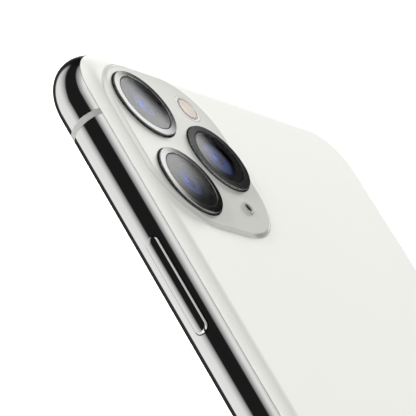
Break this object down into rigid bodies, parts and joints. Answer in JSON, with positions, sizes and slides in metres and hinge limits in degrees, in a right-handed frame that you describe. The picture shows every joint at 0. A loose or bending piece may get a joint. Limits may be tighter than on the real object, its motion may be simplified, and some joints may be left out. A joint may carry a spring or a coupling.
{
  "type": "smartphone",
  "caption": "Slim smartphone with a polished steel band, frosted white glass back and a raised square camera plateau, with its inner parts, pressing buttons and a sliding card tray.",
  "frame": {"origin": "on the display face, at the middle of the phone's outline", "axes": "+X to the right seen from the back, +Y towards the top end with the cameras, +Z out of the rear glass"},
  "size_m": [0.0724, 0.144, 0.0089],
  "materials": {
    "display_glass": "polished",
    "rear_glass": "frosted, polished on the camera plateau",
    "polished_steel": "mirror-polished stainless steel",
    "ring_steel": "polished",
    "split_plastic": "satin",
    "display_film": "gloss",
    "black_plastic": "matt",
    "aluminium_sheet": "satin",
    "lens_glass": "polished and coated",
    "lens_black": "matt",
    "case_steel": "satin",
    "flash_glass": "polished",
    "lamp_phosphor": "matt",
    "flex_film": "satin",
    "card_plastic": "matt",
    "sensor_black": "gloss",
    "microphone_can": "satin",
    "battery_foil": "satin",
    "circuit_board": "satin",
    "copper_wire": "enamelled",
    "ferrite_sheet": "matt"
  },
  "bodies": {
    "phone": {"front_glass": "display_glass", "rear_glass": "rear_glass", "band_left": "polished_steel", "band_right": "polished_steel", "band_top_left": "polished_steel", "band_top_right": "polished_steel", "band_bottom_left": "polished_steel", "band_bottom_right": "polished_steel", "bottom_screws": "polished_steel", "upper_lens_ring": "ring_steel", "lower_lens_ring": "ring_steel", "inner_lens_ring": "ring_steel", "rear_mic": "ring_steel", "antenna_splits": "split_plastic", "display_panel": "display_film", "display_gasket": "black_plastic", "dust_meshes": "black_plastic", "loudspeaker": "black_plastic", "earpiece": "black_plastic", "mute_switch_base": "black_plastic", "socket_tongue": "black_plastic", "chassis_plate": "aluminium_sheet", "camera_bracket": "aluminium_sheet", "display_shield": "aluminium_sheet", "sim_reader": "aluminium_sheet", "upper_lens_window": "lens_glass", "lower_lens_window": "lens_glass", "inner_lens_window": "lens_glass", "upper_camera": "case_steel", "lower_camera": "case_steel", "inner_camera": "case_steel", "haptic_case": "case_steel", "board_shield": "case_steel", "charging_socket": "case_steel", "inside_screws": "case_steel", "flash_window": "flash_glass", "flash_lamp": "lamp_phosphor", "side_button_flex": "flex_film", "volume_flex": "flex_film", "socket_flex": "flex_film", "battery_tabs": "card_plastic", "front_sensors": "sensor_black", "front_camera": "sensor_black", "bottom_mic": "microphone_can", "battery": "battery_foil", "logic_board": "circuit_board", "radio_board": "circuit_board", "board_spacer": "circuit_board", "charging_coil": "copper_wire", "coil_shield": "ferrite_sheet"},
    "side_button": {"side_button": "polished_steel"},
    "volume_up_button": {"volume_up_button": "polished_steel"},
    "volume_down_button": {"volume_down_button": "polished_steel"},
    "mute_switch": {"mute_switch": "polished_steel"},
    "sim_tray": {"sim_tray": "polished_steel", "sim_card": "card_plastic"},
    "haptic_mass": {"haptic_mass": "case_steel"},
    "upper_lens_barrel": {"upper_lens_barrel": "lens_black"},
    "lower_lens_barrel": {"lower_lens_barrel": "lens_black"},
    "inner_lens_barrel": {"inner_lens_barrel": "lens_black"}
  },
  "joints": [
    {"name": "side_button_press", "type": "slide", "parent": "phone", "child": "side_button", "axis": [1, 0, 0], "range_m": [0, 0.00035], "stiffness_N_per_m": 5000},
    {"name": "volume_up_press", "type": "slide", "parent": "phone", "child": "volume_up_button", "axis": [-1, 0, 0], "range_m": [0, 0.00035], "stiffness_N_per_m": 5000},
    {"name": "volume_down_press", "type": "slide", "parent": "phone", "child": "volume_down_button", "axis": [-1, 0, 0], "range_m": [0, 0.00035], "stiffness_N_per_m": 5000},
    {"name": "mute_switch_slide", "type": "slide", "parent": "phone", "child": "mute_switch", "axis": [0, 0, 1], "range_m": [0, 0.0012]},
    {"name": "sim_tray_slide", "type": "slide", "parent": "phone", "child": "sim_tray", "axis": [-1, 0, 0], "range_m": [0, 0.015]},
    {"name": "haptic_mass_slide", "type": "slide", "parent": "phone", "child": "haptic_mass", "axis": [1, 0, 0], "range_m": [-0.0004, 0.0004], "stiffness_N_per_m": 5000},
    {"name": "upper_lens_focus", "type": "slide", "parent": "phone", "child": "upper_lens_barrel", "axis": [0, 0, 1], "range_m": [0, 0.0003], "stiffness_N_per_m": 500},
    {"name": "lower_lens_focus", "type": "slide", "parent": "phone", "child": "lower_lens_barrel", "axis": [0, 0, 1], "range_m": [0, 0.0003], "stiffness_N_per_m": 500},
    {"name": "inner_lens_focus", "type": "slide", "parent": "phone", "child": "inner_lens_barrel", "axis": [0, 0, 1], "range_m": [0, 0.0003], "stiffness_N_per_m": 500}
  ]
}
